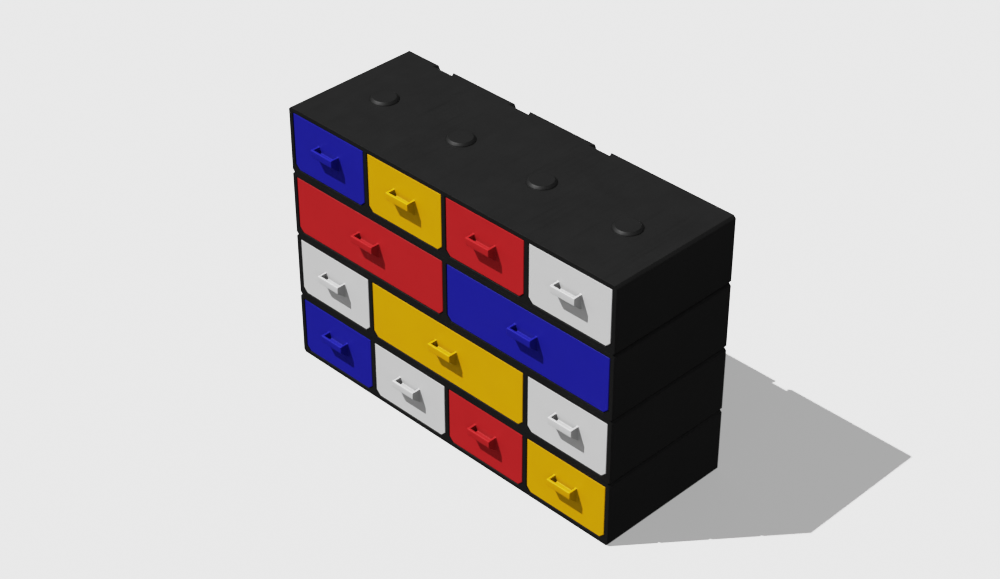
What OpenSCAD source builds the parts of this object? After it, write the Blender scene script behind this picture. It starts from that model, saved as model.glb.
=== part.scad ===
// A stackable desktop drawer set: four open-fronted cases stacked on round studs,
// with thirteen small trays, one or two units wide, that slide out of them.
// X runs across the fronts, -Y is the front, and the set stands on Z = 0.

/* [Case] */
// Width of a case across its front
case_w = 200; // [130:1:300]
// Depth of a case, from its front edge to its back face
case_d = 73.2; // [45:0.1:150]
// Height of one case
case_h = 34.3; // [28:0.1:80]
// Thickness of the side walls, the dividers and the back wall
wall = 2.35; // [1.8:0.05:5]
// Thickness of a case's deck and of its floor
deck = 2.2; // [2:0.05:5]
// Leg of the 45 degree cut along a case's four long edges, which run from front to back
edge_cut = 1.2; // [0.3:0.05:2]
// Distance that the back wall stands in from the back edges of the deck, the floor and the sides
back_inset = 3; // [2.6:0.1:8]

/* [Stacking studs and sockets] */
// Diameter of the round studs on a deck
stud_d = 13.4; // [6:0.1:20]
// Height of a stud above the deck
stud_h = 1.4; // [1.2:0.05:1.8]
// Leg of the 45 degree cut round a stud's upper edge
stud_cut = 1.1; // [0.2:0.05:1.15]
// Distance of the studs' middles behind a case's front edge
stud_y = 34.8; // [14:0.1:34.8]
// Clearance all round a stud in the socket above it
socket_gap = 0.25; // [0.1:0.05:0.6]
// Clearance over a stud in the socket above it
socket_slack = 0.1; // [0.05:0.05:0.3]

/* [Notches in the back edge of a deck] */
// Width of a notch at the deck's upper face, in its back edge
notch_upper_w = 9.7; // [8:0.1:16]
// Width of a notch at the deck's lower face, in its back edge
notch_lower_w = 7.4; // [5:0.1:7.8]
// Widening of a notch from the back edge to its front end
notch_flare = 3; // [0.2:0.1:4]
// Distance that a notch runs forward from the back edge
notch_run = 2.3; // [1.5:0.05:2.5]

/* [Trays] */
// Clearance round a tray, at its sides, top and bottom
tray_gap = 0.35; // [0.15:0.05:0.6]
// Depth of a tray's front face behind the case's front edge
tray_recess = 0.15; // [0:0.05:2]
// Clearance behind a closed tray
tray_back_gap = 0.5; // [0.3:0.1:3]
// Thickness of a tray's side and back walls
tray_wall = 1.6; // [1:0.1:2.4]
// Thickness of a tray's floor
tray_floor = 1.6; // [1:0.1:3]
// Thickness of a tray's front
tray_front = 2; // [1.2:0.1:4]
// Leg of the 45 degree cut along a tray's two lower long edges
tray_cut = 2.4; // [1.5:0.1:5]

/* [Pulls] */
// Width of a pull
pull_w = 13.9; // [8:0.1:24]
// Distance that a pull stands out from its tray's front face
pull_out = 4.6; // [3:0.1:12]
// Distance of a pull's top below the top of its case
pull_drop = 13; // [6:0.1:20]
// Height of a pull's front plate
pull_plate_h = 3.5; // [3.1:0.1:6]
// Height of a pull where its sloping underside meets the tray's front
pull_root_h = 7.6; // [6:0.1:12]
// Thickness of the walls round a pull's pocket
pull_wall = 1.1; // [0.8:0.05:2.5]
// Depth of a pull's pocket, which has a level floor
pull_pocket = 2.8; // [0.5:0.05:2.9]

/* [Hidden] */
$fn = 96;

// Widths of the bays on each level, left to right, in units. Levels count up from 0 at the desk.
bay_units = [
    [1, 1, 1, 1],
    [1, 2, 1],
    [2, 2],
    [1, 1, 1, 1]
];
// Number of units across a case, each with one stud
units = 4;

black = [0.12, 0.12, 0.13];
white = [0.86, 0.86, 0.86];
yellow = [0.85, 0.65, 0.03];
red = [0.74, 0.13, 0.15];
blue = [0.11, 0.12, 0.62];

// How far a cut runs past the face that it leaves, and a stud into its deck
overrun = 0.5;
// Distance from one unit to the next
pitch = (case_w - wall) / units;
// Inside height and depth of a bay
bay_h = case_h - 2 * deck;
bay_d = case_d - back_inset - wall;
// Height and length of a tray, both the same on every level
tray_h = bay_h - 2 * tray_gap;
tray_l = bay_d - tray_recess - tray_back_gap;
// Position of the cases' left faces and front edges, which centres the whole set on the origin
left_x = -case_w / 2;
front_y = (pull_out - tray_recess - case_d) / 2;

// Units to the left of a bay
function units_before(level, bay) = bay == 0 ? 0 : units_before(level, bay - 1) + bay_units[level][bay - 1];
// Clear width of a bay that is some units wide
function bay_w(n) = n * pitch - wall;
// Middle of a unit, from a case's left face
function unit_x(unit) = wall / 2 + (unit + 1 / 2) * pitch;
// Half width of a notch's cut at a distance y behind the back edge and a height z over the deck
function notch_half_w(y, z) =
    notch_upper_w / 2 - y / notch_run * notch_flare / 2 + z / deck * (notch_upper_w - notch_lower_w) / 2;
// Corners of a notch's cut at a distance y behind the back edge, from the lower left
function notch_end(y) = [
    [-notch_half_w(y, -deck - overrun), y, -deck - overrun],
    [notch_half_w(y, -deck - overrun), y, -deck - overrun],
    [notch_half_w(y, overrun), y, overrun],
    [-notch_half_w(y, overrun), y, overrun]
];
// Leg of a 45 degree corner cut that lies a distance outside another, or inside where it is negative
function outer_cut(cut, distance) = cut + (2 - sqrt(2)) * distance;

// Rectangle with its lower corners cut at 45 degrees, from its lower left corner
module tub_profile(w, h, cut) {
    polygon([[cut, 0], [w - cut, 0], [w, cut], [w, h], [0, h], [0, cut]]);
}

// Rectangle with all four corners cut at 45 degrees, from its lower left corner
module case_profile() {
    intersection() {
        tub_profile(case_w, case_h, edge_cut);
        translate([0, case_h]) mirror([0, 1]) tub_profile(case_w, case_h, edge_cut);
    }
}

// Runs a profile drawn in X and Z from the plane y0 back to the plane y1
module run_back(y0, y1) {
    translate([0, y1, 0]) rotate([90, 0, 0]) linear_extrude(height = y1 - y0) children();
}

// Runs a profile drawn in Y and Z across a width, centred on x = 0
module run_across(w) {
    translate([-w / 2, 0, 0]) rotate([90, 0, 90]) linear_extrude(height = w) children();
}

// One stacking stud with its upper edge cut, standing on z = 0
module stud() {
    rotate_extrude() polygon([
        [0, -overrun],
        [stud_d / 2, -overrun],
        [stud_d / 2, stud_h - stud_cut],
        [stud_d / 2 - stud_cut, stud_h],
        [0, stud_h]
    ]);
}

// One case, with its front left lower corner at the origin
module case_shell(level) {
    difference() {
        union() {
            run_back(0, case_d) case_profile();
            for (unit = [0 : units - 1]) translate([unit_x(unit), stud_y, case_h]) stud();
        }
        for (bay = [0 : len(bay_units[level]) - 1]) {
            translate([wall + units_before(level, bay) * pitch, 0, deck]) {
                run_back(-overrun, bay_d) {
                    tub_profile(bay_w(bay_units[level][bay]), bay_h, outer_cut(tray_cut, tray_gap));
                }
            }
        }
        for (unit = [0 : units - 1]) translate([unit_x(unit), stud_y, -overrun]) {
            cylinder(d = stud_d + 2 * socket_gap, h = overrun + stud_h + socket_slack);
        }
        translate([wall, 0, deck]) run_back(bay_d + wall, case_d + overrun) {
            square([case_w - 2 * wall, bay_h]);
        }
        // The right-hand unit has no notch
        for (unit = [0 : units - 2]) translate([unit_x(unit), case_d, case_h]) notch_cut();
    }
}

// Cut of a notch through the deck, with the deck's upper face at z = 0 and its back edge at y = 0.
// The sides lean outwards as they rise and as they run forward, and carry on past the deck.
module notch_cut() {
    polyhedron(
        points = concat(notch_end(-notch_run), notch_end(overrun)),
        faces = [[0, 1, 2, 3], [7, 6, 5, 4], [0, 4, 5, 1], [1, 5, 6, 2], [2, 6, 7, 3], [3, 7, 4, 0]]
    );
}

// Pull on the front face of a tray, which is the plane y = 0, with the pull's top at z = 0
module pull() {
    plate_back = pull_wall - pull_out;
    difference() {
        run_across(pull_w) polygon([
            [overrun, 0],
            [-pull_out, 0],
            [-pull_out, -pull_plate_h],
            [0, -pull_root_h],
            [overrun, -pull_root_h]
        ]);
        run_across(pull_w - 2 * pull_wall) polygon([
            [0, overrun],
            [plate_back, overrun],
            [plate_back, -pull_pocket],
            [0, -pull_pocket]
        ]);
    }
}

// One tray, some units wide, with its front left lower corner at the origin
module tray(n) {
    w = bay_w(n) - 2 * tray_gap;
    difference() {
        run_back(0, tray_l) tub_profile(w, tray_h, tray_cut);
        translate([tray_wall, 0, tray_floor]) run_back(tray_front, tray_l - tray_wall) {
            tub_profile(w - 2 * tray_wall, tray_h - tray_floor + overrun, outer_cut(tray_cut, -tray_wall));
        }
    }
    translate([w / 2, 0, case_h - pull_drop - deck - tray_gap]) pull();
}

// A case at its place in the stack
module stacked_case(level) {
    translate([left_x, front_y, level * case_h]) case_shell(level);
}

// A tray at its place in its case, pushed in
module fitted_tray(level, bay) {
    translate([
        left_x + wall + units_before(level, bay) * pitch + tray_gap,
        front_y + tray_recess,
        level * case_h + deck + tray_gap
    ]) tray(bay_units[level][bay]);
}

module case_bottom() color(black) stacked_case(0);
module case_third() color(black) stacked_case(1);
module case_second() color(black) stacked_case(2);
module case_top() color(black) stacked_case(3);

module drawer_top_1_blue() color(blue) fitted_tray(3, 0);
module drawer_top_2_yellow() color(yellow) fitted_tray(3, 1);
module drawer_top_3_red() color(red) fitted_tray(3, 2);
module drawer_top_4_white() color(white) fitted_tray(3, 3);

module drawer_second_1_red() color(red) fitted_tray(2, 0);
module drawer_second_2_blue() color(blue) fitted_tray(2, 1);

module drawer_third_1_white() color(white) fitted_tray(1, 0);
module drawer_third_2_yellow() color(yellow) fitted_tray(1, 1);
module drawer_third_3_white() color(white) fitted_tray(1, 2);

module drawer_bottom_1_blue() color(blue) fitted_tray(0, 0);
module drawer_bottom_2_white() color(white) fitted_tray(0, 1);
module drawer_bottom_3_red() color(red) fitted_tray(0, 2);
module drawer_bottom_4_yellow() color(yellow) fitted_tray(0, 3);

case_bottom();
case_third();
case_second();
case_top();
drawer_top_1_blue();
drawer_top_2_yellow();
drawer_top_3_red();
drawer_top_4_white();
drawer_second_1_red();
drawer_second_2_blue();
drawer_third_1_white();
drawer_third_2_yellow();
drawer_third_3_white();
drawer_bottom_1_blue();
drawer_bottom_2_white();
drawer_bottom_3_red();
drawer_bottom_4_yellow();
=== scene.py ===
import math

import bpy
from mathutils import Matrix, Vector

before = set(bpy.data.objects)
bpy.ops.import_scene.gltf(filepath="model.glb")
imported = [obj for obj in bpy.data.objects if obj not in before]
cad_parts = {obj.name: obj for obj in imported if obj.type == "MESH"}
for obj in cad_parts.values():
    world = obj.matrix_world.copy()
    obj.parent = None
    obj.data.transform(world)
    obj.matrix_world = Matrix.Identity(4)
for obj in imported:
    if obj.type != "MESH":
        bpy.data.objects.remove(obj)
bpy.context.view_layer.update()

# The view: a long lens aimed at the middle of the whole set, from the front right and above,
# so that the three faces of the stack foreshorten alike. Bright tones roll off towards white.
LENS_MM, SENSOR_MM = 79.25, 36
VIEW_DISTANCE = 0.990
VIEW_AZIMUTH, VIEW_ELEVATION = math.radians(45), math.radians(35.264)
AIM = Vector((-0.00004, -0.00009, 0.0691))
TONES = (
    (0.0, 0.0), (0.25, 0.25), (0.5, 0.5), (0.7, 0.61), (1.0, 0.73), (1.4, 0.815), (2.0, 0.9),
)

towards_camera = Vector((
    math.sin(VIEW_AZIMUTH) * math.cos(VIEW_ELEVATION),
    -math.cos(VIEW_AZIMUTH) * math.cos(VIEW_ELEVATION),
    math.sin(VIEW_ELEVATION),
))
lens = bpy.data.cameras.new("lens")
lens.lens, lens.sensor_width = LENS_MM, SENSOR_MM
camera = bpy.data.objects.new("camera", lens)
camera.location = AIM + towards_camera * VIEW_DISTANCE
camera.rotation_euler = (-towards_camera).to_track_quat("-Z", "Y").to_euler()
bpy.context.scene.collection.objects.link(camera)
bpy.context.scene.camera = camera

display = bpy.context.scene.view_settings
display.view_transform = "Standard"
display.use_curve_mapping = True
display.curve_mapping.use_clip = False
display.curve_mapping.extend = "EXTRAPOLATED"
tone_curve = display.curve_mapping.curves[3]  # the curve that all three colours share
for point, (dark, bright) in zip(tone_curve.points, (TONES[0], TONES[-1])):
    point.location = (dark, bright)
for dark, bright in TONES[1:-1]:
    tone_curve.points.new(dark, bright)
display.curve_mapping.update()

# The studio: a pale board under the set, a hard key light from the front left and high up, and
# soft light from a sky that is brighter towards the horizon. A second lamp beside the key reaches
# the board alone, and a dim soft one low behind the set reaches its back alone. Light isn't
# passed on from one face to another.
KEY_TRAVEL = Vector((0.349, 0.425, -0.835))
KEY_STRENGTH, BOARD_KEY_STRENGTH = 3.5, 37.0
KEY_SOFTNESS = math.radians(0.3)
BACK_LAMP_PLACE = Vector((-0.25, 0.75, 0.06))
BACK_LAMP_WIDTH, BACK_LAMP_HEIGHT, BACK_LAMP_POWER = 0.9, 0.1, 6.0
BOARD_REACH = 8.0
BOARD_GREY, BOARD_GLOW = 0.12, 0.36
SKY_SEEN, SKY_SOFT, SKY_GLOSS, SKY_BELOW = 1.5, 0.875, 0.038, 0.015
HORIZON_BLUR = 0.02


class Strand:
    """A socket of a node tree. Sums and products of strands add Math nodes to the tree."""

    def __init__(self, tree, socket=None):
        self.tree, self.socket = tree, socket

    def node(self, kind, settings=None, sockets=None, out=0):
        """A new node: its settings are set first, then its sockets get values or links."""
        made = self.tree.nodes.new("ShaderNode" + kind)
        for name, value in (settings or {}).items():
            setattr(made, name, value)
        for name, value in (sockets or {}).items():
            if isinstance(value, Strand):
                self.tree.links.new(value.socket, made.inputs[name])
            else:
                made.inputs[name].default_value = value
        return Strand(self.tree, made.outputs[out] if made.outputs else None)

    def math(self, operation, first, second=0.0):
        return self.node("Math", {"operation": operation}, {0: first, 1: second})

    def __add__(self, other):
        return self.math("ADD", self, other)

    def __sub__(self, other):
        return self.math("SUBTRACT", self, other)

    def __rsub__(self, other):
        return self.math("SUBTRACT", other, self)

    def __mul__(self, other):
        return self.math("MULTIPLY", self, other)

    __radd__, __rmul__ = __add__, __mul__

    def ramp(self, low, high, to_low=0.0, to_high=1.0):
        """This value eased from one range to another."""
        return self.node("MapRange", {"interpolation_type": "SMOOTHSTEP"}, {
            "Value": self, "From Min": low, "From Max": high, "To Min": to_low, "To Max": to_high,
        })

    def blend(self, first, second):
        """One colour where this mask is 0 and another where it is 1."""
        # A Mix node has a set of sockets for each kind of value. Those for colours come last.
        return self.node("Mix", {"data_type": "RGBA"}, {0: self, 6: first, 7: second}, out=2)


def grey(value):
    return (value, value, value, 1)


def bare_tree(owner):
    owner.use_nodes = True
    owner.node_tree.nodes.clear()
    return Strand(owner.node_tree)


board_paint = bpy.data.materials.new("board_paint")
paint = bare_tree(board_paint)
matt = paint.node("BsdfDiffuse", None, {"Color": grey(BOARD_GREY)})
glow = paint.node("Emission", None, {"Color": grey(BOARD_GLOW)})
paint.node("OutputMaterial", None, {"Surface": paint.node("AddShader", None, {0: matt, 1: glow})})

board_mesh = bpy.data.meshes.new("board")
corners = [(x * BOARD_REACH, y * BOARD_REACH, 0) for x, y in ((-1, -1), (1, -1), (1, 1), (-1, 1))]
board_mesh.from_pydata(corners, [], [(0, 1, 2, 3)])
board_mesh.materials.append(board_paint)
board = bpy.data.objects.new("board", board_mesh)
board.visible_diffuse = board.visible_glossy = False
bpy.context.scene.collection.objects.link(board)


def lamp(name, kind, settings, place, travel, reaches=None):
    """A lamp that shines along a direction. Where a collection is named, it reaches that alone."""
    bulb = bpy.data.lights.new(name, kind)
    for setting, value in settings.items():
        setattr(bulb, setting, value)
    made = bpy.data.objects.new(name, bulb)
    made.location = place
    made.rotation_euler = travel.to_track_quat("-Z", "Y").to_euler()
    bpy.context.scene.collection.objects.link(made)
    if reaches:
        made.light_linking.receiver_collection = reaches


board_only = bpy.data.collections.new("board_only")
board_only.objects.link(board)
set_only = bpy.data.collections.new("set_only")
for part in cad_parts.values():
    set_only.objects.link(part)
key = {"energy": KEY_STRENGTH, "angle": KEY_SOFTNESS}
lamp("key", "SUN", key, Vector(), KEY_TRAVEL)
board_key = {"energy": BOARD_KEY_STRENGTH, "angle": KEY_SOFTNESS}
lamp("board_key", "SUN", board_key, Vector(), KEY_TRAVEL, board_only)
back = {
    "energy": BACK_LAMP_POWER, "shape": "RECTANGLE",
    "size": BACK_LAMP_WIDTH, "size_y": BACK_LAMP_HEIGHT,
}
lamp("back", "AREA", back, BACK_LAMP_PLACE, -BACK_LAMP_PLACE, set_only)
bpy.context.scene.cycles.diffuse_bounces = 0

bpy.context.scene.world = bpy.data.worlds.new("sky")
sky = bare_tree(bpy.context.scene.world)
rise = sky.node("SeparateXYZ", None, {0: sky.node("TexCoord", out="Generated")}, out=2)
above = rise.ramp(-HORIZON_BLUR, HORIZON_BLUR)
soft = above * ((1 - rise) * SKY_SOFT - SKY_BELOW) + SKY_BELOW
gloss = above * (SKY_GLOSS - SKY_BELOW) + SKY_BELOW
lit = sky.node("LightPath", out="Is Glossy Ray").blend(soft, gloss)
seen = sky.node("LightPath", out="Is Camera Ray").blend(lit, grey(SKY_SEEN))
sky.node("OutputWorld", None, {"Surface": sky.node("Background", None, {"Color": seen})})

# The four cases: open-fronted boxes of black plastic, each moulded in one piece with its dividers,
# its stacking studs, its inset back wall and the notches through its deck. The mould was
# spark-eroded to a fine satin grain, and the edges come off it a tenth of a millimetre round.
BLACK = (0.0098, 0.0098, 0.0098)
CASE_EDGE, EDGE_STEPS = 0.00012, 2
SAME_POINT = 1e-6
# Flats less than the first angle apart are merged, edges over the second are rounded, and shading
# breaks over the third.
SAME_FLAT, SHARP_EDGE, SHARP_SHADE = (math.radians(angle) for angle in (0.3, 20, 12))
# Sizes of the marks in metres, how much each changes the roughness, and the grain's relief.
EDGE_WEAR_AND_SHADE_REACH, EDGE_WEAR_AND_SHADE_PATCH = 0.0009, 0.004
SHADE_AND_DUST_REACH = 0.003
SLIDE_MARK, SLIDE_STRETCH = 0.0005, (1, 0.012, 1)
MOTTLE, DULL_PATCH, DULL_SPECK = 0.017, 0.012, 0.0011
DULL_PATCH_SWING, DULL_SPECK_SWING = 0.16, 0.08
WEAR_SHINE, SLIDE_SHINE, DUST_DULLNESS = 0.14, 0.1, 0.15
FINE_GRAIN, COARSE_GRAIN, COARSE_SHARE = 0.00022, 0.0007, 0.6
GRAIN_DEPTH, GRAIN_STRENGTH = 0.00002, 0.35


def soften_edges(part, radius):
    """Rounds a moulding's sharp edges, over faces merged back to the flats they were cut from."""
    weld = part.modifiers.new("weld", "WELD")
    weld.merge_threshold = SAME_POINT
    flats = part.modifiers.new("flats", "DECIMATE")
    flats.decimate_type, flats.angle_limit = "DISSOLVE", SAME_FLAT
    edges = part.modifiers.new("edges", "BEVEL")
    edges.limit_method, edges.angle_limit = "ANGLE", SHARP_EDGE
    edges.width, edges.segments = radius, EDGE_STEPS
    edges.use_clamp_overlap = False
    creases = part.modifiers.new("creases", "EDGE_SPLIT")
    creases.split_angle, creases.use_edge_sharp = SHARP_SHADE, False


def satin_plastic(name, colour, roughness, gloss, edge, crevice_colour_kept):
    """Plastic coloured all through, with the mould's fine grain. Its edges are burnished and
    tinted: darker with painted shade on the black cases, a little lighter on the trays.
    Its joints and hollows are darkened with painted shade and dulled as by dust, and sliding has
    left fine marks from front to back on its long faces."""
    finish = bpy.data.materials.new(name)
    tree = bare_tree(finish)
    place = tree.node("TexCoord", out="Object")
    facing = tree.node("NewGeometry", out="Normal")

    def cloud(size, detail=2.0, spread=(1, 1, 1)):
        spot = tree.node("VectorMath", {"operation": "MULTIPLY"}, {0: place, 1: spread})
        return tree.node("TexNoise", None, {"Vector": spot, "Scale": 1 / size, "Detail": detail})

    def tint(share):
        return (*(share * part for part in colour), 1)

    rounded = tree.node("Bevel", {"samples": 6}, {"Radius": EDGE_WEAR_AND_SHADE_REACH})
    turn = tree.node("VectorMath", {"operation": "DOT_PRODUCT"}, {0: rounded, 1: facing}, out=1)
    # The edges' colour is tinted by edge: on the black cases this is painted shade that darkens
    # them, on the trays it lightens them a little. The same mask lowers the roughness there, a
    # burnish.
    edge_wear_and_shade = (1 - turn).ramp(0.002, 0.07) * cloud(EDGE_WEAR_AND_SHADE_PATCH, 3.0).ramp(0.2, 0.6, 0.55, 1.0)
    # Painted shade: an ambient-occlusion test darkens the colour in joints, hollows and creases,
    # and the same mask raises the roughness there as dust would.
    open_air = tree.node("AmbientOcclusion", {"samples": 8}, {"Distance": SHADE_AND_DUST_REACH}, out=1)
    shade_and_dust = (1 - open_air).ramp(0.1, 0.85)
    frontal = tree.node("SeparateXYZ", None, {0: facing}, out=1)
    marks = cloud(SLIDE_MARK, 2.0, SLIDE_STRETCH).ramp(0.58, 0.72)
    slid = (1 - frontal * frontal).ramp(0.4, 0.9) * marks

    mottle = cloud(MOTTLE, 3.0).ramp(0.3, 0.7)
    edged = edge_wear_and_shade.blend(mottle.blend(tint(0.985), tint(1.01)), tint(edge))
    # Painted shade: in joints and hollows the colour goes towards black.
    colour_now = (shade_and_dust * (1 - crevice_colour_kept)).blend(edged, grey(0))
    patches = (cloud(DULL_PATCH, 4.0) - 0.5) * DULL_PATCH_SWING
    specks = (cloud(DULL_SPECK) - 0.5) * DULL_SPECK_SWING
    shine = edge_wear_and_shade * WEAR_SHINE + slid * SLIDE_SHINE
    rough_now = roughness + patches + specks - shine + shade_and_dust * DUST_DULLNESS
    grain = cloud(FINE_GRAIN) + cloud(COARSE_GRAIN) * COARSE_SHARE
    relief = {"Strength": GRAIN_STRENGTH, "Distance": GRAIN_DEPTH, "Height": grain}
    surface = tree.node("BsdfPrincipled", None, {
        "Base Color": colour_now,
        "Roughness": rough_now,
        "Specular IOR Level": gloss,
        "Normal": tree.node("Bump", None, relief),
    })
    tree.node("OutputMaterial", None, {"Surface": surface})
    return finish


def dress(node, finish, radius):
    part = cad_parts[node]
    for polygon in part.data.polygons:
        polygon.use_smooth = True
    part.data.materials.clear()
    part.data.materials.append(finish)
    soften_edges(part, radius)


# Painted shade: the black cases' edges are darkened to half their tone and their joints nearly to
# black.
black_plastic = satin_plastic(
    "black_plastic", BLACK, roughness=0.56, gloss=0.42, edge=0.5, crevice_colour_kept=0.04
)
for level in ("bottom", "third", "second", "top"):
    dress("case_" + level, black_plastic, CASE_EDGE)

# The thirteen trays: open tubs of plastic coloured all through, each moulded in one piece with
# its pull. Their mould is a little smoother than the cases', and they slide on the bays' floors.
TRAY_EDGE = 0.00025
TRAY_COLOURS = {
    "white": (0.86, 0.86, 0.86),
    "yellow": (0.915, 0.492, 0.0),
    "red": (0.625, 0.0205, 0.0245),
    "blue": (0.0162, 0.0158, 0.43),
}
# Painted shade darkens the trays' joints only a little; their edges are lightened a little.
tray_plastics = {
    name: satin_plastic(
        name + "_plastic", colour, roughness=0.38, gloss=0.4, edge=1.05, crevice_colour_kept=0.96
    )
    for name, colour in TRAY_COLOURS.items()
}
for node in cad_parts:
    if node.startswith("drawer_"):
        dress(node, tray_plastics[node.rsplit("_", 1)[1]], TRAY_EDGE)
